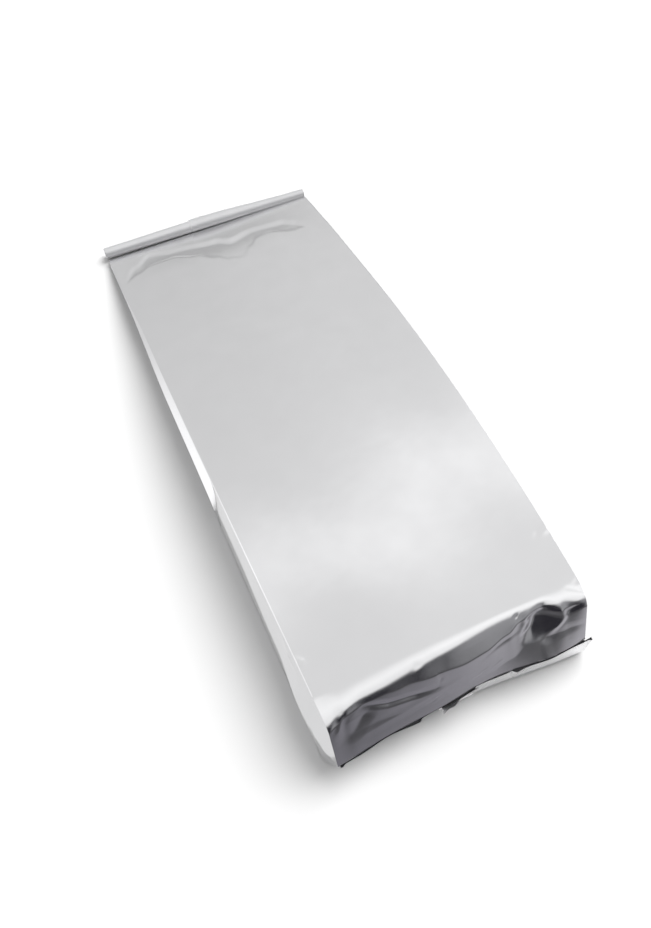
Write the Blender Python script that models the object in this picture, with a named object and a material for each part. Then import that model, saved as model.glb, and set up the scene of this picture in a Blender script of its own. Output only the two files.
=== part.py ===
"""Coffee bag: a side-gusset foil bag, part filled, lying on its back.

The empty top is rolled forward over the front panel. At the other end the front panel turns down into
the end face, and the bottom seal stands up against it. X runs across the bag, +Y towards the roll, +Z up;
the origin is on the table, under the middle of the bag.
"""
import math

import bmesh
import bpy
from mathutils import Vector

MM = 0.001

# The bag as it is made
PANEL_WIDTH = 80 * MM
FILLED_LENGTH = 194 * MM
FILLED_HEIGHT = 25.2 * MM
GUSSET_TUCK = 18 * MM
TUCK_SLOPE = 1.8
FULL_TUCK_SHARE = 0.35
FULL_TUCK_HEIGHT = 0.84
SEAL_DEPTH = 7.5 * MM
SEAL_THICKNESS = 1.0 * MM
FIN_WIDTH = 10.5 * MM
FIN_THICKNESS = 0.4 * MM
FIN_FREE_EDGE = -7 * MM
FIN_ROOT_EASE = 7 * MM
FIN_EDGE_HALF = 0.15 * MM

# Where the bag's parts lie along Y, counted from the middle of the filled length
MIDDLE_SHIFT = 3.12 * MM
ROLL_LINE = FILLED_LENGTH / 2 + MIDDLE_SHIFT
FOLD_LINE = -FILLED_LENGTH / 2 + MIDDLE_SHIFT

# The front panel's rise from the roll to the bottom fold
FLAT_HEIGHT = 2 * MM
EARLY_RISE = 1.56
LATE_RISE = -0.19
MIDDLE_SPREAD = 1.3 * MM
FLAT_SPREAD_LEFT = 1.5 * MM
FLAT_SPREAD_RIGHT = 0.4 * MM
CROWN = 1.4 * MM
CROWN_RUN = 0.12
PANEL_DIP = 3 * MM
PANEL_DIP_END = 1.2 * MM
FLAT_STRETCH = 0.1
FLAT_FADE = 0.14
DENT_DEPTH = 0.5 * MM
DENT_ACROSS = 11 * MM
DENT_ALONG = 19 * MM
DENT_RUN = 0.4
FOLD_RADIUS = 3.2 * MM
FOLD_HALF_WIDTH = 39.7 * MM
FOLD_SET_BACK = 0.6 * MM
FOLD_WAVE = 0.4 * MM
FOLD_WAVE_ACROSS = 9 * MM
CORNER_DROP_LEFT = 1.6 * MM
CORNER_DROP_RIGHT = 0.48 * MM
CORNER_FROM = 0.8

# The end face's folds: a long wave, the left corner's pinch and the right corner's wedge
FACE_OUTWARD = Vector((0, -1, 0.3))
FACE_WAVE = 0.7 * MM
FACE_WAVE_ACROSS = 13 * MM
FACE_WAVE_TURN = 2.2
PINCH_HEIGHT = 1.5 * MM
PINCH_WIDTH = 2.6 * MM
PINCH_TOP = -33 * MM
PINCH_FOOT = -28 * MM
WEDGE_DEPTH = 1.8 * MM
WEDGE_WIDTH = 3.4 * MM
WEDGE_TOP = 29 * MM
WEDGE_FOOT = 20 * MM

# The end face's foot, where the seal begins
ROOT_OUT = 6.4 * MM
ROOT_OUT_LEFT = 1.5 * MM
ROOT_OUT_RIGHT = 2.6 * MM
SEAL_SHIFT = 0.6 * MM
ROOT_HEIGHT = 3.6 * MM
ROOT_LEFT_FROM = 0.2
SEAL_LEAN_LEFT = math.radians(68)
SEAL_LEAN_RIGHT = math.radians(92)
SEAL_WAVE = math.radians(2.9)
SEAL_WAVE_ACROSS = 6 * MM
BELLY_RUN = 7 * MM
BELLY_CORNER = 0.8 * MM
BELLY_SPREAD_RUN = 0.6

# The back panel and the side walls
BACK_SPREAD = 1.9 * MM
WALL_BULGE = 2.4 * MM
BACK_BULGE = 0.4 * MM
BACK_LIFT_HALF = 9 * MM
BACK_LIFT_FADE = 12 * MM
WALL_OPENS = -6 * MM
WALL_OPEN_RUN = 26 * MM
WALL_CORNER_HEIGHT = 0.95
TUCK_END = 0.05

# The roll
ROLL_RADIUS = 2.7 * MM
ROLL_LEFT_THINNER = 0.2 * MM
ROLL_RIGHT_THINNER = 0.65 * MM
ROLL_OUT = 2.05 * MM
ROLL_SKEW = -0.017
ROLL_LEFT_PROUD = 1.0 * MM
ROLL_RIGHT_PROUD = 0.4 * MM
ROLL_FILM = 0.6 * MM
ROLL_PITCH = 0.72 * MM
ROLL_TURNS = 1.5
ROLL_FIN_FROM = 0.19
ROLL_FIN_UNTIL = 0.7
ROLL_FIN_FADE = 0.15

# How finely each stretch is divided
COLUMNS = 26
COLUMN_CROWDING = 0.35
GUSSET_ROWS = 7
TUCK_ROW = 5
SEAL_STEPS = 3
FACE_STEPS = 8
FOLD_STEPS = 4
TOP_STEPS = 22
ROLL_STEPS = 23
STEPS = SEAL_STEPS + FACE_STEPS + FOLD_STEPS + TOP_STEPS + ROLL_STEPS


def ease(value):
    """A smooth step from 0 to 1."""
    value = min(max(value, 0.0), 1.0)
    return value * value * (3 - 2 * value)


def mix(first, second, share):
    return first + (second - first) * share


def corner_curve(start, corner, end, share):
    """A rounded corner that leaves start and reaches end along the two straight sides."""
    return mix(mix(start, corner, share), mix(corner, end, share), share)


def column_places():
    """The places across the panel, -1 to 1. The columns are closer together towards the side creases, and two
    of them stand at the two sides of the fin's free edge."""
    even = [2 * index / COLUMNS - 1 for index in range(COLUMNS + 1)]
    places = [mix(value, math.sin(value * math.pi / 2), COLUMN_CROWDING) for value in even]
    half = PANEL_WIDTH / 2
    nearest = min(range(1, COLUMNS), key=lambda index: abs(places[index] * half - FIN_FREE_EDGE))
    places[nearest - 1] = (FIN_FREE_EDGE - FIN_EDGE_HALF) / half
    places[nearest] = (FIN_FREE_EDGE + FIN_EDGE_HALF) / half
    return places


def fin_step(across):
    """How far the fin seal stands proud: a free edge on the left and a soft root on the right."""
    if across < FIN_FREE_EDGE:
        return 0.0
    past_root = (across - FIN_FREE_EDGE - FIN_WIDTH) / FIN_ROOT_EASE
    return FIN_THICKNESS * (1 - ease(past_root))


def back_lift(across):
    """The back panel stands off the table by the fin's thickness beside the fin."""
    middle = FIN_FREE_EDGE + FIN_WIDTH / 2
    return FIN_THICKNESS * (1 - ease((abs(across - middle) - BACK_LIFT_HALF) / BACK_LIFT_FADE))


def panel_share(along):
    """0 at the roll and 1 at the bottom fold."""
    return min(max((ROLL_LINE - along) / FILLED_LENGTH, 0.0), 1.0)


def panel_rise(along):
    """Height of the front panel's side creases at the distance along Y."""
    down = panel_share(along)
    rise = ((1 - EARLY_RISE - LATE_RISE) * down
            + EARLY_RISE * (1 - (1 - down) ** 2)
            + LATE_RISE * (1 - (1 - down) ** 3))
    height = FLAT_HEIGHT + (FILLED_HEIGHT - FLAT_HEIGHT) * rise
    dip = ease((ROLL_LINE + PANEL_DIP_END - along) / PANEL_DIP)
    return mix(ROLL_FILM, height, dip)


def crease_half(place, along):
    """Half the front panel's width: it spreads a little where the bag is full, and near the roll, where the
    gusset is pressed flat, the front crease lies over the back one."""
    down = panel_share(along)
    pressed = FLAT_SPREAD_LEFT if place < 0 else FLAT_SPREAD_RIGHT
    return (PANEL_WIDTH / 2 + MIDDLE_SPREAD * math.sin(math.pi * down)
            + pressed * (1 - ease((down - FLAT_STRETCH) / FLAT_FADE)))


def top_height(across, along):
    """Height of the front panel: its side creases, a low crown between them and soft dents of the filling."""
    share = across / (PANEL_WIDTH / 2)
    down = panel_share(along)
    crown = CROWN * (1 - share * share) * ease(down / CROWN_RUN)
    dent = DENT_DEPTH * math.sin(across / DENT_ACROSS + along / DENT_ALONG)
    return panel_rise(along) + crown + dent * ease(down / DENT_RUN) * (1 - share ** 4)


def fold_corner(across):
    """The corner that the front panel would have at the bottom fold if it weren't rounded."""
    share = abs(across) / (PANEL_WIDTH / 2)
    along = FOLD_LINE - FOLD_SET_BACK + FOLD_WAVE * math.cos(across / FOLD_WAVE_ACROSS)
    drop = CORNER_DROP_LEFT if across < 0 else CORNER_DROP_RIGHT
    height = top_height(across, along) - drop * ease((share - CORNER_FROM) / (1 - CORNER_FROM))
    return Vector((across, along, height))


def seal_root(across):
    """The foot of the end face, where the four layers of film meet and the seal begins."""
    share = across / (PANEL_WIDTH / 2)
    out = ROOT_OUT + ROOT_OUT_RIGHT * ease(share)
    out += ROOT_OUT_LEFT * ease((-share - ROOT_LEFT_FROM) / (1 - ROOT_LEFT_FROM))
    return Vector((across + SEAL_SHIFT, FOLD_LINE - out, ROOT_HEIGHT))


def seal_lean(across):
    """The angle at which the seal stands up from the table."""
    share = (across / (PANEL_WIDTH / 2) + 1) / 2
    return mix(SEAL_LEAN_LEFT, SEAL_LEAN_RIGHT, share) + SEAL_WAVE * math.sin(across / SEAL_WAVE_ACROSS)


def face_relief(across, rise):
    """How far the end face's folds stand outwards, with rise 0 at the foot and 1 at the fold."""
    wave = FACE_WAVE * math.sin(math.pi * rise) * math.sin(across / FACE_WAVE_ACROSS + FACE_WAVE_TURN * rise)
    from_pinch = (across - mix(PINCH_FOOT, PINCH_TOP, rise)) / PINCH_WIDTH
    pinch = PINCH_HEIGHT * math.exp(-from_pinch ** 2) * ease(rise * 2)
    from_wedge = (across - mix(WEDGE_FOOT, WEDGE_TOP, rise)) / WEDGE_WIDTH
    wedge = -WEDGE_DEPTH * math.exp(-from_wedge ** 2) * ease(rise * 2.5)
    ends = 1 - (across / (PANEL_WIDTH / 2)) ** 8
    return (wave + pinch + wedge) * math.sin(math.pi * min(rise * 1.15, 1.0)) * ends


def seal_point(place, share, side):
    """A point of the upright seal. side is 1 on the front panel's layer and -1 on the back panel's."""
    across = place * PANEL_WIDTH / 2
    lean = seal_lean(across)
    upward = Vector((0, -math.cos(lean), math.sin(lean)))
    inward = Vector((0, math.sin(lean), math.cos(lean)))
    half = SEAL_THICKNESS / 2
    if side < 0:
        half += fin_step(across)
    return seal_root(across) + upward * SEAL_DEPTH * (1 - share) + inward * half * side


def face_point(place, share):
    """A point of the front panel's last stretch, from the seal's root up to the start of the fold."""
    across = place * FOLD_HALF_WIDTH
    foot = seal_point(place, 1.0, 1)
    corner = fold_corner(across)
    head = mix(corner, foot, FOLD_RADIUS / (corner - foot).length)
    point = mix(foot, head, share)
    return point + FACE_OUTWARD * face_relief(across, share)


def fold_point(place, share):
    """The rounded fold between the end face and the front panel."""
    corner = fold_corner(place * FOLD_HALF_WIDTH)
    return corner_curve(face_point(place, 1.0), corner, top_point(place, 0.0), share)


def top_point(place, share):
    """A point of the front panel, from the end of the fold to the roll."""
    fold_end = FOLD_LINE - FOLD_SET_BACK + FOLD_RADIUS
    along = mix(fold_end, ROLL_LINE, share)
    across = place * crease_half(place, along)
    return Vector((across, along, top_height(across, along)))


def belly_point(place, share):
    """The back panel's curve from the seal's root down to the table."""
    start = seal_point(place, 1.0, -1)
    half = PANEL_WIDTH / 2 + (BACK_SPREAD + BACK_BULGE) * ease(share / BELLY_SPREAD_RUN)
    end = back_point(place, 0.0)
    corner = Vector((start.x, start.y + BELLY_CORNER, end.z))
    point = corner_curve(start, corner, end, share)
    point.x = place * half
    return point


def back_point(place, share):
    """A point of the back panel where it lies on the table."""
    start = FOLD_LINE - ROOT_OUT + BELLY_RUN
    along = mix(start, ROLL_LINE, share)
    half = PANEL_WIDTH / 2 + BACK_SPREAD
    half += BACK_BULGE * ease((WALL_OPENS - along) / WALL_OPEN_RUN)
    across = place * half
    return Vector((across, along, back_lift(across) - fin_step(across)))


def roll_point(place, share, side):
    """A point of the rolled top. side is -1 on the outer skin, which is the back panel, and 1 inside."""
    proud = ROLL_LEFT_PROUD if place < 0 else ROLL_RIGHT_PROUD
    across = place * (PANEL_WIDTH / 2 + proud)
    thinner = ROLL_RIGHT_THINNER * ease(place) + ROLL_LEFT_THINNER * ease(-place)
    outer = ROLL_RADIUS - thinner
    turn = share * ROLL_TURNS
    radius = outer - ROLL_PITCH * turn
    if side > 0:
        radius -= ROLL_FILM
    else:
        grown = ease(turn / ROLL_FIN_FROM) * (1 - ease((turn - ROLL_FIN_UNTIL) / ROLL_FIN_FADE))
        radius += fin_step(across) * grown
    angle = turn * 2 * math.pi
    centre_along = ROLL_LINE + ROLL_OUT + ROLL_SKEW * across
    return Vector((across,
                   centre_along + radius * math.sin(angle),
                   outer - radius * math.cos(angle)))


def stretch(step):
    """The stretch of the bag that a step along it falls in, and its share of that stretch."""
    for name, count in (("seal", SEAL_STEPS), ("face", FACE_STEPS), ("fold", FOLD_STEPS), ("top", TOP_STEPS)):
        if step <= count:
            return name, step / count
        step -= count
    return "roll", step / ROLL_STEPS


def front_skin(place, step):
    name, share = stretch(step)
    if name == "seal":
        return seal_point(place, share, 1)
    if name == "face":
        return face_point(place, share)
    if name == "fold":
        return fold_point(place, share)
    if name == "top":
        return top_point(place, share)
    return roll_point(place, share, 1)


def back_skin(place, step):
    name, share = stretch(step)
    if name == "seal":
        return seal_point(place, share, -1)
    if name == "face":
        return belly_point(place, share * FACE_STEPS / (FACE_STEPS + FOLD_STEPS))
    if name == "fold":
        return belly_point(place, (FACE_STEPS + share * FOLD_STEPS) / (FACE_STEPS + FOLD_STEPS))
    if name == "top":
        return back_point(place, share)
    return roll_point(place, share, -1)


def gusset_skin(side, row, step):
    """The side gusset, row 0 at the back crease: a V tucked inwards near the roll, and where the bag is full
    a bulging wall whose tuck stays close under the front crease."""
    front = front_skin(side, step)
    back = back_skin(side, step)
    name, share = stretch(step)
    if name in ("seal", "roll"):
        return mix(back, front, row / GUSSET_ROWS)
    gap = front.z - back.z
    full = ease((WALL_OPENS - front.y) / WALL_OPEN_RUN)
    depth = min(GUSSET_TUCK, TUCK_SLOPE * gap) * mix(1.0, FULL_TUCK_SHARE, full)
    bulge = WALL_BULGE * full
    if name == "face":
        depth *= ease(share)
        bulge *= share
    if name == "top":
        depth *= ease((1 - share) / TUCK_END)
    tuck = mix(back, front, mix(0.5, FULL_TUCK_HEIGHT, full))
    tuck.x -= side * depth
    if row >= TUCK_ROW:
        return mix(tuck, front, (row - TUCK_ROW) / (GUSSET_ROWS - TUCK_ROW))
    shoulder = mix(mix(back, tuck, 0.5), mix(back, front, WALL_CORNER_HEIGHT), full)
    shoulder.x += side * bulge
    return corner_curve(back, shoulder, tuck, row / TUCK_ROW)


def build_bag():
    """A box divided into columns, gusset rows and steps, each point then moved to its place on the bag."""
    bm = bmesh.new()
    bmesh.ops.create_cube(bm, size=2.0)
    for axis, cuts in ((0, COLUMNS - 1), (1, STEPS - 1), (2, GUSSET_ROWS - 1)):
        along_axis = [edge for edge in bm.edges
                      if abs(edge.verts[0].co[axis] - edge.verts[1].co[axis]) > 1.0]
        bmesh.ops.subdivide_edges(bm, edges=along_axis, cuts=cuts, use_grid_fill=True)
    places = column_places()
    for vert in bm.verts:
        column = round((vert.co.x + 1) / 2 * COLUMNS)
        step = round((vert.co.y + 1) / 2 * STEPS)
        row = round((vert.co.z + 1) / 2 * GUSSET_ROWS)
        place = places[column]
        if row == GUSSET_ROWS:
            vert.co = front_skin(place, step)
        elif row == 0:
            vert.co = back_skin(place, step)
        elif column in (0, COLUMNS):
            vert.co = gusset_skin(1 if column else -1, row, step)
        else:
            vert.co = mix(back_skin(place, step), front_skin(place, step), row / GUSSET_ROWS)
    bmesh.ops.triangulate(bm, faces=bm.faces[:])
    bmesh.ops.recalc_face_normals(bm, faces=bm.faces[:])
    mesh = bpy.data.meshes.new("bag")
    bm.to_mesh(mesh)
    bm.free()
    mesh.shade_smooth()
    mesh.set_sharp_from_angle(angle=math.radians(40))
    return mesh


def foil():
    """Matte metallised film."""
    material = bpy.data.materials.new("foil")
    material.use_nodes = True
    shader = material.node_tree.nodes["Principled BSDF"]
    shader.inputs["Base Color"].default_value = (0.78, 0.78, 0.79, 1)
    shader.inputs["Metallic"].default_value = 1.0
    shader.inputs["Roughness"].default_value = 0.3
    return material


for old in list(bpy.data.objects):
    bpy.data.objects.remove(old, do_unlink=True)

bag = bpy.data.objects.new("bag", build_bag())
bag.data.materials.append(foil())
bpy.context.scene.collection.objects.link(bag)
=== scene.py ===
"""Coffee bag: a bare foil side-gusset bag, part filled and lying on its back. Sizes are in millimetres.
X runs across the bag, +Y towards the rolled top and +Z up, from an origin on the table under its middle."""

import math

import bmesh
import bpy
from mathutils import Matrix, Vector


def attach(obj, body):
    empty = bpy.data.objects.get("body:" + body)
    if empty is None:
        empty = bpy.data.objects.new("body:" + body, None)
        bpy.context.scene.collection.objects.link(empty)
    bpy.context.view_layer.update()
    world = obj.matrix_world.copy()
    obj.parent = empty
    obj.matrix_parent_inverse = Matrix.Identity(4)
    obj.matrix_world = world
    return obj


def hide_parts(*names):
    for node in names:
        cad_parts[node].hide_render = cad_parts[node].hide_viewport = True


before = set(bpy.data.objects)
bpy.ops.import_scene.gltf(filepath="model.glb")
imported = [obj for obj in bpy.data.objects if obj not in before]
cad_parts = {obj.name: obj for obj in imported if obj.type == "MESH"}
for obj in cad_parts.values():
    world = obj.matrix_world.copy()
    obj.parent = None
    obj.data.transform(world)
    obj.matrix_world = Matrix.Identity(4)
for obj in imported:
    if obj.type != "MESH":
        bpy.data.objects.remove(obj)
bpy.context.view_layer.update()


# Filled body. The real piece is one tube of silver laminated film, aluminium on plastic, with a gusset
# folded in along each side. The coffee inside presses the front panel into a low wedge, and at the bottom
# the front panel turns down over a rounded fold into the end face and meets the back panel at the seal.
PANEL_WIDTH = 80
FILLED_LENGTH = 194
FILLED_HEIGHT = 25.2
MIDDLE_SHIFT = 3.12
ROLL_LINE = FILLED_LENGTH / 2 + MIDDLE_SHIFT
FOLD_LINE = -FILLED_LENGTH / 2 + MIDDLE_SHIFT
PANEL_END = FOLD_LINE - 0.6

# the front panel: its rise from the roll to the full end, its crown and dents, and its creased side edges
FLAT_HEIGHT = 2
EARLY_RISE = 1.56
LATE_RISE = -0.19
ROLL_FILM = 0.6
PANEL_DIP = 2.2
DIP_FROM = 1.6
CROWN = 1.4
CROWN_GROWS = 0.12
DENT_DEPTH = 0.5
DENT_RUN_ACROSS = 11
DENT_RUN_ALONG = 19
MIDDLE_SPREAD = 1.3
FLAT_SPREAD_LEFT = 0.8
FLAT_SPREAD_RIGHT = 0.4
FLAT_SPREAD_TO = 0.1
FLAT_SPREAD_FADE = 0.16
EDGE_BAND = 0.45
EDGE_DROP = 0.12

# the bottom fold and the end face under it
FOLD_REACH = 2.8
FOLD_PANEL_REACH = 6
FOLD_HALF_WIDTH = 39.7
CORNER_DROP_LEFT = 1.2
CORNER_DROP_RIGHT = 0.5
CORNER_FROM = 0.84
FACE_SLANT = 18
SHOULDER_SLOPE = 0.22
SHOULDER_FALL = 9.5
SHOULDER_ROUND = 0.5
FACE_OUTWARD = Vector((0, -0.96, 0.29))

# the seal's root, where the end face and the back panel meet, and how far the seal leans from level
ROOT_OUT = 6.4
ROOT_OUT_LEFT = 1.5
ROOT_OUT_RIGHT = 2.6
ROOT_HEIGHT = 3.6
SEAL_SHIFT = 0.6
SEAL_DEPTH = 7.5
SEAL_LEAN_LEFT = math.radians(68)
SEAL_LEAN_RIGHT = math.radians(92)
SEAL_LEAN_WAVE = 0.05
SEAL_LEAN_WAVE_RUN = 6
ROOT_THICKNESS = 1.0

# the side gussets, tucked in near the roll and pushed out into walls where the bag is full
GUSSET_TUCK = 18
TUCK_SLOPE = 1.8
TUCK_GROWS = 0.05
WALL_BULGE_RIGHT = 0.4
WALL_BELLY_HEIGHT = 0.62
WALL_OPENS = -6
WALL_OPEN_RUN = 20
TUCK_CLOSES = 1.3
WALL_UNDERCUT = 0.55
CORNER_WIDENS = 1.4

# the back panel, which lies on the table from the end of its belly to the roll
BELLY_RUN = 7
BELLY_CORNER_IN = 0.8
BACK_START = FOLD_LINE - ROOT_OUT + BELLY_RUN
BACK_SPREAD = 1.9
FLAT_BACK_SPREAD = 0.8
FLAT_BACK_FROM = 30
FLAT_BACK_RUN = 50
BACK_BULGE = 0.4

# the fin seal under the back panel, and how wide it lifts the film
FIN_WIDTH = 10.5
FIN_THICKNESS = 0.4
FIN_FREE_EDGE = -7
FIN_LIFT_HALF = 9
FIN_LIFT_FADE = 12

# how finely the film is divided, closest at the two ends of the panels
END_CROWDING = 0.085
BODY_COLUMNS = 176
FACE_STEPS = 62
FOLD_STEPS = 20
TOP_STEPS = 146
BODY_STEPS = FACE_STEPS + FOLD_STEPS + TOP_STEPS
GUSSET_ROWS = 20
TUCK_ROW = 12
BELLY_ROW = 10
EDGE_COLUMNS = 3


def ease(value):
    """A smooth step from 0 to 1."""
    value = min(max(value, 0.0), 1.0)
    return value * value * (3 - 2 * value)


def mix(first, second, share):
    return first + (second - first) * share


def corner_curve(start, corner, end, share):
    """A rounded corner that leaves start and reaches end along the two straight sides."""
    return mix(mix(start, corner, share), mix(corner, end, share), share)


def through(points, place):
    """A smooth line through a few (place, value) points, level at each of them."""
    for (left, low), (right, high) in zip(points, points[1:]):
        if place <= right:
            return mix(low, high, ease((place - left) / (right - left)))
    return points[-1][1]


# The film's creases: each is a line of (across, down, height) points and is reach wide on each side. Across
# is X, and down counts from the bottom fold, over the end face or, below 0, up the front panel.
CREST_ROUND = 0.12
CREST_FALL = 0.89
CREST_SHARPNESS = 1.5
CREASES = (
    # the left corner's pinch, with a light facet on its left and a dark hollow on its right
    (((-34.4, 0.4, 0.03), (-35.4, 2.4, 0.26), (-36.8, 5.4, 0.24), (-37.6, 8.4, 0.03)), 2.2),
    (((-31.0, 3.4, -0.1), (-29.4, 6.4, -0.3), (-33.0, 9.6, -0.2)), 4.2),
    # the dark lens below the loop, and the long waves towards the seal
    (((-28.6, 3.4, -0.1), (-22.0, 7.0, -0.36), (-14.0, 9.2, -0.36), (-7.6, 10.2, -0.1)), 1.8),
    (((-30.0, 13.0, 0.04), (-17.0, 13.0, 0.1), (-4.0, 11.8, 0.14), (6.0, 10.4, 0.05)), 2.2),
    (((-7.0, 5.6, -0.05), (-6.6, 7.4, -0.16), (-7.8, 10.0, -0.05)), 0.9),
    (((5.0, 8.6, -0.05), (11.0, 6.8, -0.18), (18.0, 5.4, -0.05)), 1.4),
    # small crumples above the seal
    (((-12.4, 14.0, 0.05), (-8.4, 13.2, 0.12)), 0.8),
    (((-9.6, 14.9, 0.06), (-5.6, 14.1, 0.10)), 0.7),
    (((0.6, 14.4, 0.06), (7.6, 13.2, 0.12)), 0.9),
    (((5.0, 15.2, 0.05), (12.0, 13.0, 0.10)), 0.8),
    # the notches in the fold line
    (((-12.4, -3.0, -0.02), (-12.0, -1.0, -0.14), (-13.4, 1.6, 0.0)), 2.2),
    (((19.4, -1.6, -0.05), (18.6, 0.0, -0.22), (17.8, 1.6, -0.05)), 1.1),
    # the thin bright ridge that runs into the right corner
    (((14.0, 4.6, 0.02), (18.0, 3.2, 0.08), (22.0, 0.8, 0.06), (26.0, -1.8, 0.0)), 1.4),
    # the right corner's own pinch and the soft streak below it
    (((39.0, 0.6, -0.1), (36.4, 2.4, -0.32), (33.4, 4.6, -0.08)), 1.7),
    (((38.6, 10.0, -0.05), (26.0, 11.4, -0.14)), 2.4),
    # small pinches along the front panel's edges
    (((40.6, -22.4, -0.3), (37.6, -21.4, -0.05)), 1.3),
    (((36.4, -21.6, 0.16), (35.2, -20.2, 0.1)), 1.0),
    (((40.4, -6.2, -0.2), (38.2, -5.0, -0.05)), 0.9),
    (((35.8, -4.6, -0.08), (40.2, -2.8, -0.2)), 0.9),
    (((-39.6, -17.0, 0.1), (-38.4, -15.6, 0.2)), 0.9),
)


def crease_relief(across, down):
    """How far the creases raise the film at a point: crisp crests with easing flanks."""
    total = 0.0
    for line, reach in CREASES:
        nearest = 1.0
        height = 0.0
        for (first_x, first_y, first_height), (last_x, last_y, last_height) in zip(line, line[1:]):
            run_x = last_x - first_x
            run_y = last_y - first_y
            share = ((across - first_x) * run_x + (down - first_y) * run_y) / (run_x * run_x + run_y * run_y)
            share = min(max(share, 0.0), 1.0)
            away = math.hypot(across - first_x - share * run_x, down - first_y - share * run_y) / reach
            if away < nearest:
                nearest = away
                height = mix(first_height, last_height, share)
        if nearest < 1:
            fall = (math.hypot(nearest, CREST_ROUND) - CREST_ROUND) / CREST_FALL
            total += height * max(1 - fall, 0.0) ** CREST_SHARPNESS
    return total


# The right corner's hollow wedge, by the distance down: its bottom on the left and its crest on the right
WEDGE_BOTTOM = ((-3.5, 28.6), (0, 27.3), (4, 24.8), (8, 22.8), (11, 22.2))
WEDGE_CREST = ((-3.5, 31.0), (2.5, 31.8), (5, 32.2), (11, 27.8))
WEDGE_DEPTH = ((-3.5, 0), (-0.5, 0.15), (4.5, 1.3), (7, 1.2), (11.5, 0))
WEDGE_CREST_HEIGHT = 0.35
WEDGE_LEFT_FLANK = 4.6
WEDGE_RIGHT_FLANK = 2.2


def wedge_relief(across, down):
    """A flat facet rises from the wedge's bottom to its crest, between two falling flanks."""
    bottom = through(WEDGE_BOTTOM, down)
    crest = through(WEDGE_CREST, down)
    deep = through(WEDGE_DEPTH, max(down, WEDGE_DEPTH[0][0]))
    high = WEDGE_CREST_HEIGHT * min(deep, 1)
    if across < bottom:
        return -deep * ease(1 - (bottom - across) / WEDGE_LEFT_FLANK)
    if across < crest:
        return mix(-deep, high, (across - bottom) / (crest - bottom))
    return high * ease(1 - (across - crest) / WEDGE_RIGHT_FLANK)


def film_relief(across, down):
    """All that raises or sinks the end face and its fold."""
    return crease_relief(across, down) + wedge_relief(across, down)


def panel_share(along):
    """0 at the roll and 1 at the bottom fold."""
    return min(max((ROLL_LINE - along) / FILLED_LENGTH, 0.0), 1.0)


def panel_rise(along):
    """Height of the front panel's side creases at the distance along Y."""
    down = panel_share(along)
    rise = ((1 - EARLY_RISE - LATE_RISE) * down
            + EARLY_RISE * (1 - (1 - down) ** 2)
            + LATE_RISE * (1 - (1 - down) ** 3))
    height = mix(FLAT_HEIGHT, FILLED_HEIGHT, rise)
    return mix(ROLL_FILM, height, ease((ROLL_LINE + DIP_FROM - along) / PANEL_DIP))


def crease_half(place, along):
    """Half the front panel's width, a little more where the bag is full and where the gusset is flat."""
    down = panel_share(along)
    pressed = FLAT_SPREAD_LEFT if place < 0 else FLAT_SPREAD_RIGHT
    return (PANEL_WIDTH / 2 + MIDDLE_SPREAD * math.sin(math.pi * down)
            + pressed * (1 - ease((down - FLAT_SPREAD_TO) / FLAT_SPREAD_FADE)))


# The shallow buckle in front of the roll, its two rims as (across, distance from the roll)
BUCKLE_FAR_RIM = ((-40.3, 18.6), (-33, 15), (-27.7, 12.3), (-19.4, 12.3), (-10.4, 16.3), (-5.2, 21.4),
                  (-0.5, 25.0), (4.3, 26.6), (9.2, 21.7), (13.4, 17.3), (17.4, 16.3), (27.7, 20.2),
                  (32.3, 19.4))
BUCKLE_NEAR_RIM = ((-40.3, 18.6), (-33, 10.5), (-26, 5.3), (-17.7, 8.2), (-1.3, 10.8), (3.7, 13.9),
                   (12.6, 11.8), (25.1, 12.6), (29.5, 15.4), (32.3, 19.4))
BUCKLE_DEPTH = 0.16
BUCKLE_TILT = 0.048
BUCKLE_RIM = 1.0
BUCKLE_SOFT_RIM = 2.8


def buckle(across, along):
    """The film drops over a soft rim by the roll into the buckle, and rises over a fine one."""
    if not BUCKLE_FAR_RIM[0][0] < across < BUCKLE_FAR_RIM[-1][0]:
        return 0.0
    away = ROLL_LINE - along
    within = through(BUCKLE_FAR_RIM, across) - away
    inside = ease(within / BUCKLE_RIM + 0.5)
    inside *= ease((away - through(BUCKLE_NEAR_RIM, across)) / BUCKLE_SOFT_RIM + 0.5)
    return -(BUCKLE_DEPTH + BUCKLE_TILT * max(within, 0)) * inside


def top_height(across, along):
    """Height of the front panel: its side creases, a low crown and the soft dents of the filling."""
    share = across / (PANEL_WIDTH / 2)
    down = panel_share(along)
    crown = CROWN * (1 - share * share) * ease(down / CROWN_GROWS)
    dent = DENT_DEPTH * math.sin(across / DENT_RUN_ACROSS + along / DENT_RUN_ALONG)
    return panel_rise(along) + crown + dent * ease(down / 0.4) * (1 - share ** 4)


# How far the fold lies back from the bag's end, as (across, distance)
FOLD_SET_BACK = ((-40, -1.8), (-34.5, 0.4), (-27, 1.5), (-13, 2.3), (-4, 2.7), (17, 3.9), (26, 3.5),
                 (33, 1.7), (40, -0.4))


def fold_corner(across):
    """The corner that the front panel would have at the bottom fold if it weren't rounded."""
    share = abs(across) / (PANEL_WIDTH / 2)
    along = PANEL_END + through(FOLD_SET_BACK, across)
    drop = CORNER_DROP_LEFT if across < 0 else CORNER_DROP_RIGHT
    height = top_height(across, along) - drop * max((share - CORNER_FROM) / (1 - CORNER_FROM), 0)
    return Vector((across, along, height))


def seal_root(across):
    """The foot of the end face, where the layers of film meet and the seal begins."""
    share = across / (PANEL_WIDTH / 2)
    out = ROOT_OUT + ROOT_OUT_LEFT * ease((-share - 0.2) / 0.8) + ROOT_OUT_RIGHT * ease(share)
    return Vector((across + SEAL_SHIFT, FOLD_LINE - out, ROOT_HEIGHT))


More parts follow.
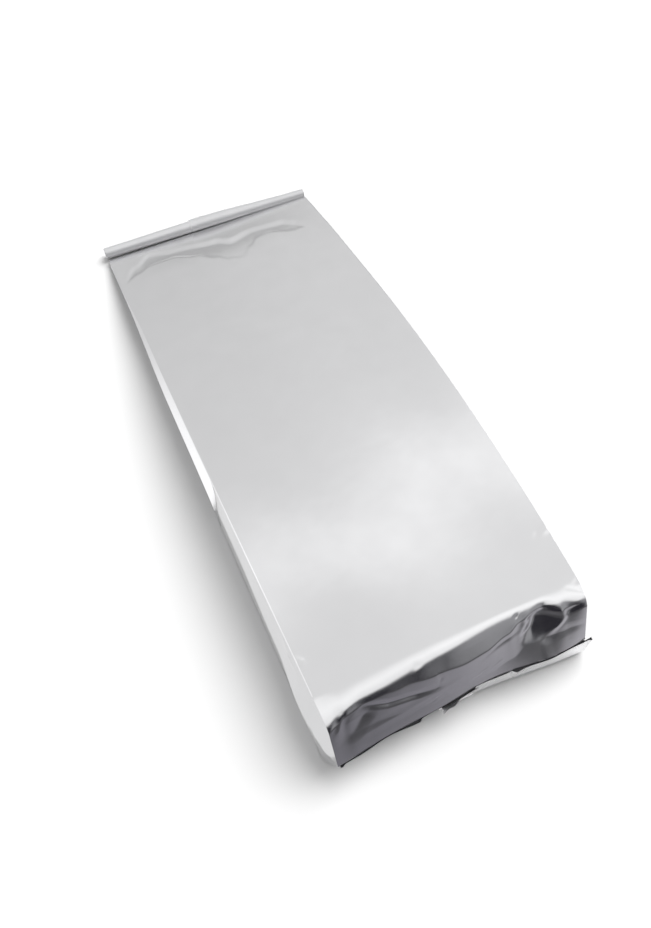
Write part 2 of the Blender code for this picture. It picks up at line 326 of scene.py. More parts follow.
def seal_directions(across):
    """The way up along the seal, and the way from its back layer to its front layer."""
    share = (across / (PANEL_WIDTH / 2) + 1) / 2
    wave = SEAL_LEAN_WAVE * math.sin(across / SEAL_LEAN_WAVE_RUN)
    lean = mix(SEAL_LEAN_LEFT, SEAL_LEAN_RIGHT, share) + wave
    return Vector((0, -math.cos(lean), math.sin(lean))), Vector((0, math.sin(lean), math.cos(lean)))


# How far the rounded shoulder under the bottom fold reaches down the end face, as (across, down)
SHOULDER_EDGE = ((-40, 1.2), (-31, 1.2), (-27, 1.8), (-17, 3.6), (-7, 5.4), (2, 6.6), (8, 6.4), (15, 4.6),
                 (21, 1.4), (26, -0.6), (30, 0.4), (40, 0.8))


def shoulder(across, down):
    """The film slopes outwards from the fold to the shoulder's edge, and then falls back to the foot."""
    edge = through(SHOULDER_EDGE, across)
    crest = SHOULDER_SLOPE * edge
    before = SHOULDER_SLOPE * down
    after = crest * (1 - (down - edge) / SHOULDER_FALL)
    blend = math.hypot(before - after, SHOULDER_ROUND * SHOULDER_SLOPE)
    return max((before + after - blend) / 2, 0.0)


# How far up the seal the end face meets it, as (across, height)
FACE_FOOT_UP = ((-40, 7.4), (-32, 7.5), (-12, 7.5), (40, 7.45))
# The end face's foot stands out past the seal's left end, and lies in from its right end
FACE_FOOT_OUT_LEFT = 0.7
FACE_FOOT_IN_RIGHT = 2.2


def face_base(place, share):
    """A point of the end face without its creases, from the seal's root up to the start of the fold."""
    across = place * FOLD_HALF_WIDTH
    upward, inward = seal_directions(place * PANEL_WIDTH / 2)
    foot_up = through(FACE_FOOT_UP, across)
    foot = seal_root(place * PANEL_WIDTH / 2) + upward * foot_up + inward * ROOT_THICKNESS / 2
    foot.x -= (FACE_FOOT_IN_RIGHT if place > 0 else FACE_FOOT_OUT_LEFT) * abs(place) ** 3
    corner = fold_corner(across)
    head = mix(corner, foot, FOLD_REACH / (corner - foot).length)
    down = mix(FACE_SLANT, FOLD_REACH, share)
    return mix(foot, head, share) + FACE_OUTWARD * shoulder(across, down) * (1 - place ** 6)


def face_point(place, share):
    """A point of the end face with its creases, which die out at the seal."""
    across = place * FOLD_HALF_WIDTH
    down = mix(FACE_SLANT, FOLD_REACH, share)
    return face_base(place, share) + FACE_OUTWARD * film_relief(across, down) * ease(share * 5)


def fold_point(place, share):
    """The rounded fold between the end face and the front panel."""
    across = place * FOLD_HALF_WIDTH
    point = corner_curve(face_base(place, 1.0), fold_corner(across), plain_top_point(place, 0.0), share)
    outward = mix(FACE_OUTWARD, Vector((0, 0, 1)), share)
    return point + outward.normalized() * film_relief(across, mix(FOLD_REACH, -FOLD_PANEL_REACH, share))


def closer_at_ends(share):
    return share - END_CROWDING * math.sin(2 * math.pi * share)


def plain_top_point(place, share):
    """A point of the front panel without its creases, from the end of the fold to the roll."""
    along = mix(PANEL_END + FOLD_PANEL_REACH, ROLL_LINE, closer_at_ends(share))
    across = place * crease_half(place, along)
    return Vector((across, along, top_height(across, along)))


def top_point(place, share):
    """A point of the front panel with its creases and the buckle."""
    point = plain_top_point(place, share)
    rounded = max(abs(place) - 1 + 2 * EDGE_BAND / PANEL_WIDTH, 0) * PANEL_WIDTH / 2 / EDGE_BAND
    point.z -= EDGE_DROP * rounded ** 2 * ease(point.z / 6)
    point.z += crease_relief(point.x, PANEL_END - point.y) + buckle(point.x, point.y)
    return point


def back_lift(across):
    """The back panel stands off the table by the fin's thickness over and beside the fin."""
    middle = FIN_FREE_EDGE + FIN_WIDTH / 2
    return FIN_THICKNESS * (1 - ease((abs(across - middle) - FIN_LIFT_HALF) / FIN_LIFT_FADE))


def belly_point(place, share):
    """The back panel's curve from the seal's root down to the table."""
    inward = seal_directions(place * PANEL_WIDTH / 2)[1]
    start = seal_root(place * PANEL_WIDTH / 2) - inward * ROOT_THICKNESS / 2
    half = PANEL_WIDTH / 2 + (BACK_SPREAD + BACK_BULGE) * ease(share * CORNER_WIDENS)
    end = back_point(place, 0.0)
    corner = Vector((start.x, start.y + BELLY_CORNER_IN, end.z))
    point = corner_curve(start, corner, end, share)
    point.x = place * half
    return point


def back_point(place, share):
    """A point of the back panel where it lies on the table."""
    along = mix(BACK_START, ROLL_LINE, closer_at_ends(share))
    spread = mix(BACK_SPREAD, FLAT_BACK_SPREAD, ease((along - FLAT_BACK_FROM) / FLAT_BACK_RUN))
    half = PANEL_WIDTH / 2 + spread + BACK_BULGE * ease((WALL_OPENS - along) / WALL_OPEN_RUN)
    across = place * half
    return Vector((across, along, back_lift(across)))


def front_skin(place, step):
    if step <= FACE_STEPS:
        return face_point(place, step / FACE_STEPS)
    if step <= FACE_STEPS + FOLD_STEPS:
        return fold_point(place, (step - FACE_STEPS) / FOLD_STEPS)
    return top_point(place, (step - FACE_STEPS - FOLD_STEPS) / TOP_STEPS)


def back_skin(place, step):
    if step <= FACE_STEPS + FOLD_STEPS:
        return belly_point(place, step / (FACE_STEPS + FOLD_STEPS))
    return back_point(place, (step - FACE_STEPS - FOLD_STEPS) / TOP_STEPS)


# How far the left wall bulges, as (along, distance)
WALL_BULGE_LEFT = ((-103, 0.6), (-94, 2.0), (-84, 2.5), (-66, 1.3), (-35, 0.7), (100, 0.5))

# The leaf-shaped fold under the left crease, as (along, drop) of its two ends
LEAF_HEAD = (-70.0, 0.9)
LEAF_FOOT = (-79.0, 2.2)
LEAF_REACH = 1.3
LEAF_HEIGHT = 0.55
WALL_OUTWARD = Vector((-0.88, 0, 0.47))


def leaf_relief(along, drop):
    """A ridge on the left wall, along Y and by the drop below the front crease."""
    run = (LEAF_FOOT[0] - LEAF_HEAD[0], LEAF_FOOT[1] - LEAF_HEAD[1])
    share = ((along - LEAF_HEAD[0]) * run[0] + (drop - LEAF_HEAD[1]) * run[1]) / (run[0] ** 2 + run[1] ** 2)
    share = min(max(share, 0.0), 1.0)
    away = math.hypot(along - LEAF_HEAD[0] - share * run[0], drop - LEAF_HEAD[1] - share * run[1])
    return LEAF_HEIGHT * math.sin(math.pi * mix(0.1, 0.9, share)) * max(1 - away / LEAF_REACH, 0.0)


def gusset_skin(side, row, step):
    """The side gusset from the back crease to the front one: a V tucked inwards near the roll, and where the
    bag is full a wall that leans out from the front crease and turns back under to the back crease."""
    front = front_skin(side, step)
    back = back_skin(side, step)
    gap = front.z - back.z
    full = ease((WALL_OPENS - front.y) / WALL_OPEN_RUN)
    face_share = min(step / FACE_STEPS, 1.0)
    top_share = (step - FACE_STEPS - FOLD_STEPS) / TOP_STEPS
    depth = min(GUSSET_TUCK, TUCK_SLOPE * gap) * ease((1 - top_share) / TUCK_GROWS)
    tuck = mix(back, front, 0.5)
    tuck.x -= side * depth * (1 - ease(full * TUCK_CLOSES))
    if row >= TUCK_ROW:
        flat = mix(tuck, front, (row - TUCK_ROW) / (GUSSET_ROWS - TUCK_ROW))
    else:
        flat = mix(back, tuck, row / TUCK_ROW)
    belly = mix(back, front, WALL_BELLY_HEIGHT)
    bulge = through(WALL_BULGE_LEFT, front.y) if side < 0 else WALL_BULGE_RIGHT
    belly.x = mix(back.x, front.x, WALL_BELLY_HEIGHT) + side * bulge * ease(face_share * CORNER_WIDENS)
    if row <= BELLY_ROW:
        under = mix(back, belly, WALL_UNDERCUT)
        under.x = belly.x
        wall = corner_curve(back, under, belly, row / BELLY_ROW)
    else:
        wall = mix(belly, front, (row - BELLY_ROW) / (GUSSET_ROWS - BELLY_ROW))
        if side < 0:
            wall += WALL_OUTWARD * leaf_relief(front.y, front.z - wall.z)
    return mix(flat, wall, full)


def body_place(column, step, row):
    edge = 2 * EDGE_BAND / PANEL_WIDTH
    inner = (column - EDGE_COLUMNS) / (BODY_COLUMNS - 2 * EDGE_COLUMNS)
    place = mix(edge - 1, 1 - edge, inner)
    if column < EDGE_COLUMNS:
        place = edge * column / EDGE_COLUMNS - 1
    if column > BODY_COLUMNS - EDGE_COLUMNS:
        place = 1 - edge * (BODY_COLUMNS - column) / EDGE_COLUMNS
    if row == GUSSET_ROWS:
        return front_skin(place, step)
    if row == 0:
        return back_skin(place, step)
    if column in (0, BODY_COLUMNS):
        return gusset_skin(1 if column else -1, row, step)
    return mix(back_skin(place, step), front_skin(place, step), row / GUSSET_ROWS)


def film_piece(name, columns, steps, rows, place_of, crisp=40, cut_sides=()):
    """A box divided into columns, steps and rows, each point then moved to its place on the bag. Edges
    sharper than the crisp angle stay sharp. The box's cut sides, as (axis, end), get the second material."""
    bm = bmesh.new()
    bmesh.ops.create_cube(bm, size=2.0)
    for axis, parts in enumerate((columns, steps, rows)):
        along_axis = [edge for edge in bm.edges
                      if abs(edge.verts[0].co[axis] - edge.verts[1].co[axis]) > 1.0]
        if parts > 1:
            bmesh.ops.subdivide_edges(bm, edges=along_axis, cuts=parts - 1, use_grid_fill=True)
    for axis, end in cut_sides:
        for face in bm.faces:
            if all(abs(vert.co[axis] - end) < 0.001 for vert in face.verts):
                face.material_index = 1
    for vert in bm.verts:
        column = round((vert.co.x + 1) / 2 * columns)
        step = round((vert.co.y + 1) / 2 * steps)
        row = round((vert.co.z + 1) / 2 * rows)
        vert.co = place_of(column, step, row)
    bmesh.ops.scale(bm, vec=Vector((0.001, 0.001, 0.001)), verts=bm.verts[:])
    bmesh.ops.recalc_face_normals(bm, faces=bm.faces[:])
    mesh = bpy.data.meshes.new(name)
    bm.to_mesh(mesh)
    bm.free()
    mesh.shade_smooth()
    mesh.set_sharp_from_angle(angle=math.radians(crisp))
    piece = bpy.data.objects.new(name, mesh)
    bpy.context.scene.collection.objects.link(piece)
    return piece


def film_group():
    """The film's surface: a fine satin grain and a faint crinkle, as a height, with a roughness that varies
    with the crinkle and a tint that drifts with it from silver to a slightly duller silver."""
    group = bpy.data.node_groups.new("film surface", "ShaderNodeTree")
    for socket, kind, value in (("Silver", "NodeSocketColor", (0.84, 0.84, 0.85, 1)),
                                ("Dull silver", "NodeSocketColor", (0.79, 0.79, 0.80, 1)),
                                ("Grain size", "NodeSocketFloat", 0.0005),
                                ("Crinkle size", "NodeSocketFloat", 0.009),
                                ("Crinkle", "NodeSocketFloat", 0.5),
                                ("Least roughness", "NodeSocketFloat", 0.15),
                                ("Most roughness", "NodeSocketFloat", 0.24)):
        made = group.interface.new_socket(socket, in_out="INPUT", socket_type=kind)
        made.default_value = value
    for socket, kind in (("Color", "NodeSocketColor"), ("Roughness", "NodeSocketFloat"),
                         ("Height", "NodeSocketFloat")):
        group.interface.new_socket(socket, in_out="OUTPUT", socket_type=kind)
    nodes = group.nodes
    links = group.links
    given = nodes.new("NodeGroupInput")
    result = nodes.new("NodeGroupOutput")
    place = nodes.new("ShaderNodeTexCoord")

    def noise(size_socket, detail):
        inverse = nodes.new("ShaderNodeMath")
        inverse.operation = "DIVIDE"
        inverse.inputs[0].default_value = 1.0
        links.new(given.outputs[size_socket], inverse.inputs[1])
        texture = nodes.new("ShaderNodeTexNoise")
        texture.inputs["Detail"].default_value = detail
        links.new(place.outputs["Object"], texture.inputs["Vector"])
        links.new(inverse.outputs[0], texture.inputs["Scale"])
        return texture.outputs["Fac"]

    grain = noise("Grain size", 2.0)
    crinkle = noise("Crinkle size", 3.0)
    scaled = nodes.new("ShaderNodeMath")
    scaled.operation = "MULTIPLY"
    links.new(crinkle, scaled.inputs[0])
    links.new(given.outputs["Crinkle"], scaled.inputs[1])
    height = nodes.new("ShaderNodeMath")
    height.operation = "MULTIPLY_ADD"
    height.inputs[1].default_value = 0.05
    links.new(grain, height.inputs[0])
    links.new(scaled.outputs[0], height.inputs[2])
    links.new(height.outputs[0], result.inputs["Height"])
    roughness = nodes.new("ShaderNodeMapRange")
    links.new(crinkle, roughness.inputs["Value"])
    links.new(given.outputs["Least roughness"], roughness.inputs["To Min"])
    links.new(given.outputs["Most roughness"], roughness.inputs["To Max"])
    links.new(roughness.outputs["Result"], result.inputs["Roughness"])
    tint = nodes.new("ShaderNodeMix")
    tint.data_type = "RGBA"
    links.new(crinkle, tint.inputs["Factor"])
    links.new(given.outputs["Silver"], tint.inputs["A"])
    links.new(given.outputs["Dull silver"], tint.inputs["B"])
    links.new(tint.outputs["Result"], result.inputs["Color"])
    return group


FILM_SURFACE = film_group()


def film(name, crinkle=0.5, crinkle_size=0.009, roughness=(0.15, 0.24)):
    """Metallised film: bare aluminium silver under a satin plastic skin."""
    material = bpy.data.materials.new(name)
    material.use_nodes = True
    nodes = material.node_tree.nodes
    links = material.node_tree.links
    shader = nodes["Principled BSDF"]
    shader.inputs["Metallic"].default_value = 1.0
    surface = nodes.new("ShaderNodeGroup")
    surface.node_tree = FILM_SURFACE
    surface.inputs["Least roughness"].default_value = roughness[0]
    surface.inputs["Most roughness"].default_value = roughness[1]
    surface.inputs["Crinkle"].default_value = crinkle
    surface.inputs["Crinkle size"].default_value = crinkle_size
    bump = nodes.new("ShaderNodeBump")
    bump.inputs["Distance"].default_value = 0.0001
    links.new(surface.outputs["Height"], bump.inputs["Height"])
    links.new(surface.outputs["Color"], shader.inputs["Base Color"])
    links.new(surface.outputs["Roughness"], shader.inputs["Roughness"])
    links.new(bump.outputs["Normal"], shader.inputs["Normal"])
    return material


filled_body = film_piece("filled_body", BODY_COLUMNS, BODY_STEPS, GUSSET_ROWS, body_place, crisp=28)
filled_body.data.materials.append(film("body film"))
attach(filled_body, "root")
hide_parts("bag")


# Bottom seal. The front and back panels, with the gussets between them in the outer thirds, are heat sealed
# flat and cut straight. The band stands up from the foot of the end face, and its cut edge shows the gap
# between the layers, widest where the gussets begin, with painted shade: the cut edge is coloured
# near-black.
SEAL_COLUMNS = 150
SEAL_STEPS = 12
SEAL_ROWS = 5
SEAL_BELOW_ROOT = 0.8
LAYER = 0.06
CUT_DEPTH = 0.9
GUSSET_LAYERS_FROM = 14.2
SEAL_GAPE_LEFT = 0.6
SEAL_GAPE_RIGHT = 0.9
GAPE_OPENS = 1.4
GAPE_FADES = 4
TWO_LAYERS = 0.26
GUSSET_LAYERS = 0.1
END_KNOB = 0.5
END_KNOB_AT = 39.6
END_KNOB_RUN = 0.7
ROOT_TAPER = 0.7
SEAL_PROUD = 0.02
SEAL_WAVE = 0.15
SEAL_WAVE_RUN = 2.3


def seal_thickness(across):
    """Two layers in the middle, four in the outer thirds, which gape where the gussets begin."""
    out = abs(across)
    four = ease((out - GUSSET_LAYERS_FROM) / GAPE_OPENS)
    widest = SEAL_GAPE_LEFT if across < 0 else SEAL_GAPE_RIGHT
    gape = widest * four * math.exp(-max(out - GUSSET_LAYERS_FROM - 1, 0) / GAPE_FADES)
    knob = END_KNOB * math.exp(-((out - END_KNOB_AT) / END_KNOB_RUN) ** 2)
    return TWO_LAYERS + GUSSET_LAYERS * four + gape + knob


def seal_place(column, step, row):
    across = (2 * column / SEAL_COLUMNS - 1) * PANEL_WIDTH / 2
    upward, inward = seal_directions(across)
    thick = seal_thickness(across)
    offsets = (thick, thick - LAYER, thick - LAYER, LAYER, LAYER, 0)
    share = step / SEAL_STEPS
    up = mix(SEAL_DEPTH, -SEAL_BELOW_ROOT, share)
    if step == 0 and row in (2, 3):
        up -= CUT_DEPTH
    taper = mix(1.0, ROOT_TAPER, share)
    front_at = ROOT_THICKNESS / 2 + SEAL_PROUD
    wave = SEAL_WAVE * math.sin(across / SEAL_WAVE_RUN) * (1 - share) ** 2
    return seal_root(across) + upward * up + inward * (front_at + wave - offsets[row] * taper)


def cut_edge_shade_material():
    """The film's cut edge: bare dull metal between the plastic layers, coloured near-black as painted shade
    for the gap.
    """
    material = bpy.data.materials.new("cut edge")
    material.use_nodes = True
    nodes = material.node_tree.nodes
    shader = nodes["Principled BSDF"]
    shader.inputs["Metallic"].default_value = 0.6
    place = nodes.new("ShaderNodeTexCoord")
    speckle = nodes.new("ShaderNodeTexNoise")
    speckle.inputs["Scale"].default_value = 700
    # near-black greys with a faint speckle: painted shade for the gap between the layers
    ramp = nodes.new("ShaderNodeValToRGB")
    ramp.color_ramp.elements[0].color = (0.015, 0.015, 0.017, 1)
    ramp.color_ramp.elements[1].color = (0.07, 0.07, 0.075, 1)
    links = material.node_tree.links
    links.new(place.outputs["Object"], speckle.inputs["Vector"])
    links.new(speckle.outputs["Fac"], ramp.inputs["Fac"])
    links.new(ramp.outputs["Color"], shader.inputs["Base Color"])
    shader.inputs["Roughness"].default_value = 0.6
    return material


# the cut edges of the seal and the fin take this painted shade
CUT_EDGE_SHADE = cut_edge_shade_material()

bottom_seal = film_piece("bottom_seal", SEAL_COLUMNS, SEAL_STEPS, SEAL_ROWS, seal_place,
                         cut_sides=((1, -1),))
bottom_seal.data.materials.append(film("seal film", 0.8, 0.004, roughness=(0.24, 0.34)))
bottom_seal.data.materials.append(CUT_EDGE_SHADE)
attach(bottom_seal, "root")
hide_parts("bag")


# Fin seal. The film's two long edges are sealed into a flat strip that lies folded to one side down the
# back panel. It turns up with the bottom seal, where its free edge stands away from the band.
FIN_COLUMNS = 28
FIN_STEPS = 150
FIN_ROWS = 2
FIN_BELLY_FROM = 0.86
FIN_SEAL_FROM = 0.93
FIN_GAPE = 1.5
FIN_CUT_THICKNESS = 0.15
FIN_GAP = 0.65
FIN_GAP_AT = 0.24
FIN_GAP_RUN = 0.11
FIN_CORNER_DROP = 1.2
FIN_CORNER_SPREAD = 1.2


def fin_place(column, step, row):
    across_share = column / FIN_COLUMNS
    across = FIN_FREE_EDGE + FIN_WIDTH * across_share
    place = across / (PANEL_WIDTH / 2)
    share = step / FIN_STEPS
    thick = FIN_THICKNESS * (row / FIN_ROWS)
    if share <= FIN_BELLY_FROM:
        return Vector((across, mix(ROLL_LINE, BACK_START, share / FIN_BELLY_FROM), thick))
    if share <= FIN_SEAL_FROM:
        turn = (share - FIN_BELLY_FROM) / (FIN_SEAL_FROM - FIN_BELLY_FROM)
        point = belly_point(place, 1 - turn)
        point.x = across
        point.y -= (FIN_THICKNESS - thick) * ease(turn)
        point.z -= (FIN_THICKNESS - thick) * (1 - ease(turn))
        return point
    rise = (share - FIN_SEAL_FROM) / (1 - FIN_SEAL_FROM)
    upward, inward = seal_directions(across)
    flare = (1 - across_share) ** 6 * ease(rise)
    gap = FIN_GAP * math.exp(-((across_share - FIN_GAP_AT) / FIN_GAP_RUN) ** 2) * ease(rise)
    layers = mix(FIN_THICKNESS, FIN_CUT_THICKNESS, ease(rise * 3))
    back = FIN_GAPE * flare + (layers + gap) * (1 - row / FIN_ROWS)
    point = seal_root(across) + upward * (SEAL_DEPTH * rise - FIN_CORNER_DROP * flare) - inward * back
    point.x -= FIN_CORNER_SPREAD * flare
    return point


fin_seal = film_piece("fin_seal", FIN_COLUMNS, FIN_STEPS, FIN_ROWS, fin_place, cut_sides=((1, 1),))
fin_seal.data.materials.append(film("fin film", 0.8, 0.004, roughness=(0.3, 0.5)))
fin_seal.data.materials.append(CUT_EDGE_SHADE)
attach(fin_seal, "root")
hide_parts("bag")


# Rolled top. The empty end of the tube, all its layers pressed flat, is rolled forward one and a half turns
# over the front panel. The fin seal, rolled in with it, makes the step left of the middle.
ROLL_COLUMNS = 170
ROLL_STEPS = 130
ROLL_ROWS = 2
ROLL_RADIUS = 2.7
ROLL_LEFT_THINNER = 0.2
ROLL_RIGHT_THINNER = 0.65
ROLL_OUT = 2.05
ROLL_SKEW = -0.017
ROLL_LEFT_PROUD = 1.0
ROLL_RIGHT_PROUD = 0.4
ROLL_PITCH = 0.72
ROLL_TURNS = 1.5
ROLL_SPACING = (PANEL_WIDTH + ROLL_LEFT_PROUD + ROLL_RIGHT_PROUD) / ROLL_COLUMNS
FIN_EDGE_WIDTH = 0.08
FIN_ROOT_EASE = 30
FIN_STEP_TO = 0.7
FIN_STEP_FADE = 0.15


def fin_step(across):
    """How far the fin lifts the film over it: a free edge on the left and a soft root on the right."""
    past_root = (across - FIN_FREE_EDGE - FIN_WIDTH) / FIN_ROOT_EASE
    return FIN_THICKNESS * (1 - ease(past_root)) if across > FIN_FREE_EDGE else 0.0


def roll_place(column, step, row):
    place = 2 * column / ROLL_COLUMNS - 1
    share = step / ROLL_STEPS
    across = place * (PANEL_WIDTH / 2 + (ROLL_LEFT_PROUD if place < 0 else ROLL_RIGHT_PROUD))
    from_edge = across - FIN_FREE_EDGE
    if abs(from_edge) < ROLL_SPACING:
        across = FIN_FREE_EDGE + math.copysign(FIN_EDGE_WIDTH, from_edge)
    outer = ROLL_RADIUS - ROLL_RIGHT_THINNER * max(place, 0) - ROLL_LEFT_THINNER * ease(-place)
    turn = share * ROLL_TURNS
    radius = outer - ROLL_PITCH * turn - ROLL_FILM * row / ROLL_ROWS
    outer_turn = ease(share * 8) * (1 - ease((turn - FIN_STEP_TO) / FIN_STEP_FADE))
    radius += fin_step(across) * outer_turn * (1 - row / ROLL_ROWS)
    angle = turn * 2 * math.pi
    centre = ROLL_LINE + ROLL_OUT + ROLL_SKEW * across
    return Vector((across, centre + radius * math.sin(angle), outer - radius * math.cos(angle)))


rolled_top = film_piece("rolled_top", ROLL_COLUMNS, ROLL_STEPS, ROLL_ROWS, roll_place)
rolled_top.data.materials.append(film("roll film", 0.7, 0.006, roughness=(0.52, 0.64)))
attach(rolled_top, "root")
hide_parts("bag")


# Table. A plain white studio table, with a grey sheet in front of the bag's end and a white sheet along its
# left side, which only the film's reflections see. Both sheets glow and paint reflections: painted shade,
# dark and mid-grey, in the end face, and a painted light reflection in the left wall.
def plain_material(name, colour, roughness):
    material = bpy.data.materials.new(name)
    material.use_nodes = True
    shader = material.node_tree.nodes["Principled BSDF"]
    shader.inputs["Base Color"].default_value = colour
    shader.inputs["Roughness"].default_value = roughness
    return material


def flat_sheet(name, corner, size, height):
    bm = bmesh.new()
    bmesh.ops.create_grid(bm, x_segments=1, y_segments=1, size=0.5)
    bmesh.ops.scale(bm, vec=Vector((size[0], size[1], 1)), verts=bm.verts[:])
    middle = Vector((corner[0] + size[0] / 2, corner[1] + size[1] / 2, height))
    bmesh.ops.translate(bm, vec=middle, verts=bm.verts[:])
    mesh = bpy.data.meshes.new(name)
    bm.to_mesh(mesh)
    bm.free()
    sheet = bpy.data.objects.new(name, mesh)
    bpy.context.scene.collection.objects.link(sheet)
    return sheet


table = flat_sheet("table", corner=(-3, -3), size=(6, 6), height=-0.0002)
table.data.materials.append(plain_material("white table", (0.52, 0.52, 0.52, 1), 0.8))


def reflection_glow_material():
    """A dim glow, painted shade for the end face's reflections, lighter close to the bag and towards its
    right.
    """
    material = bpy.data.materials.new("grey reflection glow")
    material.use_nodes = True
    nodes = material.node_tree.nodes
    links = material.node_tree.links
    shader = nodes["Principled BSDF"]
    shader.inputs["Base Color"].default_value = (0, 0, 0, 1)
    shader.inputs["Roughness"].default_value = 1.0
    shader.inputs["Emission Strength"].default_value = 1.0
    place = nodes.new("ShaderNodeTexCoord")
    split = nodes.new("ShaderNodeSeparateXYZ")
    links.new(place.outputs["Object"], split.inputs[0])

    def shade(start, end, low, high):
        """A grey that goes from low to high as X goes from start to end."""
        fade = nodes.new("ShaderNodeMapRange")
        fade.interpolation_type = "SMOOTHSTEP"
        fade.inputs["From Min"].default_value = start
        fade.inputs["From Max"].default_value = end
        links.new(split.outputs["X"], fade.inputs["Value"])
        grey = nodes.new("ShaderNodeMix")
        grey.data_type = "RGBA"
        grey.inputs["A"].default_value = (low, low * 0.97, low * 1.1, 1)
        grey.inputs["B"].default_value = (high, high * 0.98, high * 1.04, 1)
        links.new(fade.outputs["Result"], grey.inputs["Factor"])
        return grey.outputs["Result"]

    closeness = nodes.new("ShaderNodeMapRange")
    closeness.interpolation_type = "SMOOTHSTEP"
    closeness.inputs["From Min"].default_value = -0.215
    closeness.inputs["From Max"].default_value = -0.118
    links.new(split.outputs["Y"], closeness.inputs["Value"])
    blend = nodes.new("ShaderNodeMix")
    blend.data_type = "RGBA"
    links.new(closeness.outputs["Result"], blend.inputs["Factor"])
    links.new(shade(start=0.03, end=0.12, low=0.02, high=0.07), blend.inputs["A"])
    links.new(shade(start=-0.03, end=0.075, low=0.19, high=0.46), blend.inputs["B"])
    links.new(blend.outputs["Result"], shader.inputs["Emission Color"])
    return material


# a grey glowing sheet that only reflections see: painted shade in the end face
grey_reflection_glow = flat_sheet("grey_reflection_glow", corner=(-1.5, -3.109), size=(3.0, 3.0), height=0.0002)
grey_reflection_glow.data.materials.append(reflection_glow_material())

# a white glowing sheet that only reflections see: a painted light reflection in the left wall
white_reflection_glow = flat_sheet("white_reflection_glow", corner=(-0.345, -0.108), size=(0.3, 0.25), height=0.0002)
white_reflection_glow.data.materials.append(plain_material("white reflection glow", (0, 0, 0, 1), 1.0))
glow = white_reflection_glow.data.materials[0].node_tree.nodes["Principled BSDF"]
glow.inputs["Emission Color"].default_value = (0.80, 0.80, 0.80, 1)
glow.inputs["Emission Strength"].default_value = 1.0

for card in (grey_reflection_glow, white_reflection_glow):
    card.visible_camera = False
    card.visible_diffuse = False
    card.visible_shadow = False


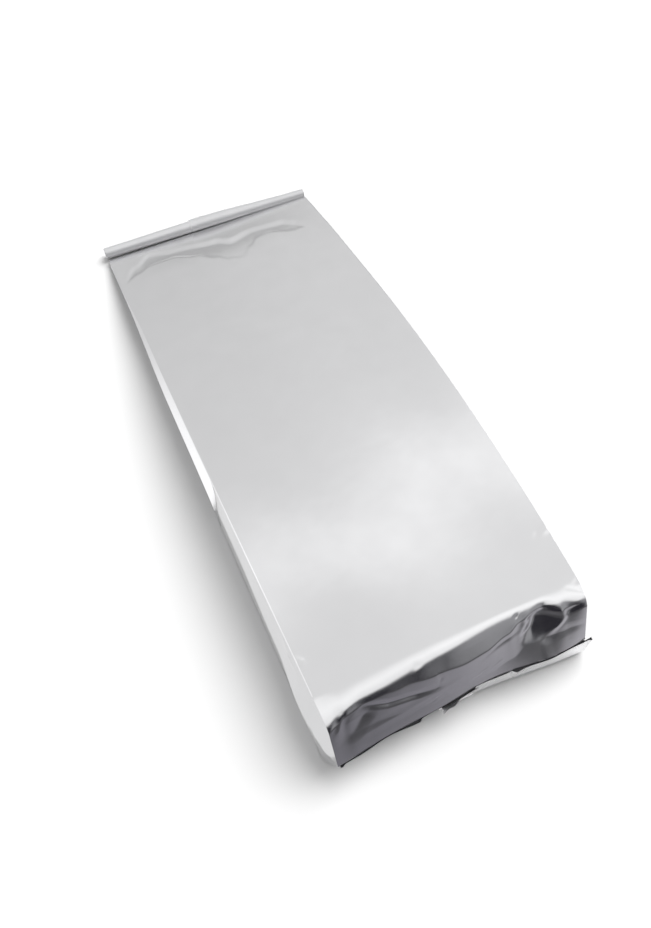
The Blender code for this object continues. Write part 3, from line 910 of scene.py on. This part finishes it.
# Studio light. A broad soft light from the back right, and a bright tent around the bag that is open and
# dark on the camera's side and dims towards the far horizon.
def studio_tent():
    world = bpy.data.worlds.new("studio tent")
    world.use_nodes = True
    nodes = world.node_tree.nodes
    links = world.node_tree.links
    nodes.clear()
    way = nodes.new("ShaderNodeTexCoord")
    split = nodes.new("ShaderNodeSeparateXYZ")
    links.new(way.outputs["Generated"], split.inputs[0])

    def soft_step(axis, start, end, low, high):
        """A soft change from low to high as the direction's axis goes from start to end."""
        node = nodes.new("ShaderNodeMapRange")
        node.interpolation_type = "SMOOTHSTEP"
        node.inputs["From Min"].default_value = start
        node.inputs["From Max"].default_value = end
        node.inputs["To Min"].default_value = low
        node.inputs["To Max"].default_value = high
        links.new(split.outputs[axis], node.inputs["Value"])
        return node.outputs["Result"]

    def product(first, second):
        node = nodes.new("ShaderNodeMath")
        node.operation = "MULTIPLY"
        links.new(first, node.inputs[0])
        links.new(second, node.inputs[1])
        return node.outputs[0]

    # from the camera's side, where Y is -1, over the top to the far side
    sides = nodes.new("ShaderNodeMapRange")
    sides.inputs["From Min"].default_value = -1.0
    links.new(split.outputs["Y"], sides.inputs["Value"])
    band = nodes.new("ShaderNodeValToRGB")
    band.color_ramp.interpolation = "EASE"
    stops = [(y, (value, value, value, 1)) for y, value in (
        (-0.60, 0.84), (-0.30, 0.96), (-0.12, 0.88), (0.06, 0.70), (0.28, 0.695), (0.42, 0.90),
        (0.60, 0.66), (0.78, 0.63), (0.95, 0.585))]
    elements = band.color_ramp.elements
    elements[0].position = (stops[0][0] + 1) / 2
    elements[0].color = stops[0][1]
    elements[1].position = (stops[-1][0] + 1) / 2
    elements[1].color = stops[-1][1]
    for y, colour in stops[1:-1]:
        elements.new((y + 1) / 2).color = colour
    links.new(sides.outputs["Result"], band.inputs["Fac"])

    # the camera's side is dark up to about 40 degrees, and less so towards the right
    low = soft_step("Z", 0.58, 0.72, 1.0, 0.0)
    near = soft_step("Y", -0.46, -0.22, 1.0, 0.0)
    dark_share = product(low, near)
    dark_tone = nodes.new("ShaderNodeMix")
    dark_tone.data_type = "RGBA"
    dark_tone.inputs["A"].default_value = (0.018, 0.017, 0.022, 1)
    dark_tone.inputs["B"].default_value = (0.26, 0.26, 0.27, 1)
    links.new(soft_step("X", 0.12, 0.42, 0.0, 1.0), dark_tone.inputs["Factor"])
    tone = nodes.new("ShaderNodeMix")
    tone.data_type = "RGBA"
    links.new(dark_share, tone.inputs["Factor"])
    links.new(band.outputs["Color"], tone.inputs["A"])
    links.new(dark_tone.outputs["Result"], tone.inputs["B"])

    far_side = soft_step("Y", 0.2, 0.6, 0.0, 1.0)
    far_horizon = soft_step("Z", 0.08, 0.26, 0.6, 1.0)
    horizon = nodes.new("ShaderNodeMix")
    links.new(far_side, horizon.inputs["Factor"])
    horizon.inputs["A"].default_value = 1.0
    links.new(far_horizon, horizon.inputs["B"])
    left_light = soft_step("X", -0.62, -0.34, 1.4, 1.0)
    right_light = soft_step("X", 0.02, 0.3, 0.96, 1.02)
    strength = product(product(horizon.outputs["Result"], left_light), right_light)
    brighter = nodes.new("ShaderNodeMath")
    brighter.operation = "MULTIPLY"
    brighter.inputs[1].default_value = 1.2
    links.new(strength, brighter.inputs[0])
    background = nodes.new("ShaderNodeBackground")
    links.new(tone.outputs["Result"], background.inputs["Color"])
    links.new(brighter.outputs[0], background.inputs["Strength"])
    output = nodes.new("ShaderNodeOutputWorld")
    links.new(background.outputs[0], output.inputs["Surface"])
    return world


bpy.context.scene.world = studio_tent()

key = bpy.data.objects.new("key light", bpy.data.lights.new("key light", "SUN"))
key.data.energy = 5.0
key.data.angle = math.radians(50)
key.rotation_euler = Vector((0.66, 0.28, 1.0)).to_track_quat("Z", "Y").to_euler()
key.visible_glossy = False
bpy.context.scene.collection.objects.link(key)


# Camera, at the photograph's angle: it stands in front of the bag's end, a little to the left, and looks
# down along the bag.
CAMERA_PLACE = Vector((-60.343, -140.54, 248.948))
CAMERA_AZIMUTH = math.radians(24.571)
CAMERA_ELEVATION = math.radians(60.743)
FOCAL_LENGTH_PIXELS = 860.88
IMAGE_HEIGHT_PIXELS = 928

camera = bpy.data.objects.new("camera", bpy.data.cameras.new("camera"))
camera.data.sensor_width = 36
camera.data.lens = FOCAL_LENGTH_PIXELS / IMAGE_HEIGHT_PIXELS * camera.data.sensor_width
camera.data.clip_start = 0.01
looking = Vector((math.sin(CAMERA_AZIMUTH) * math.cos(CAMERA_ELEVATION),
                  math.cos(CAMERA_AZIMUTH) * math.cos(CAMERA_ELEVATION),
                  -math.sin(CAMERA_ELEVATION)))
camera.location = CAMERA_PLACE / 1000
camera.rotation_euler = looking.to_track_quat("-Z", "Y").to_euler()
bpy.context.scene.collection.objects.link(camera)
bpy.context.scene.camera = camera
bpy.context.scene.view_settings.view_transform = "Standard"
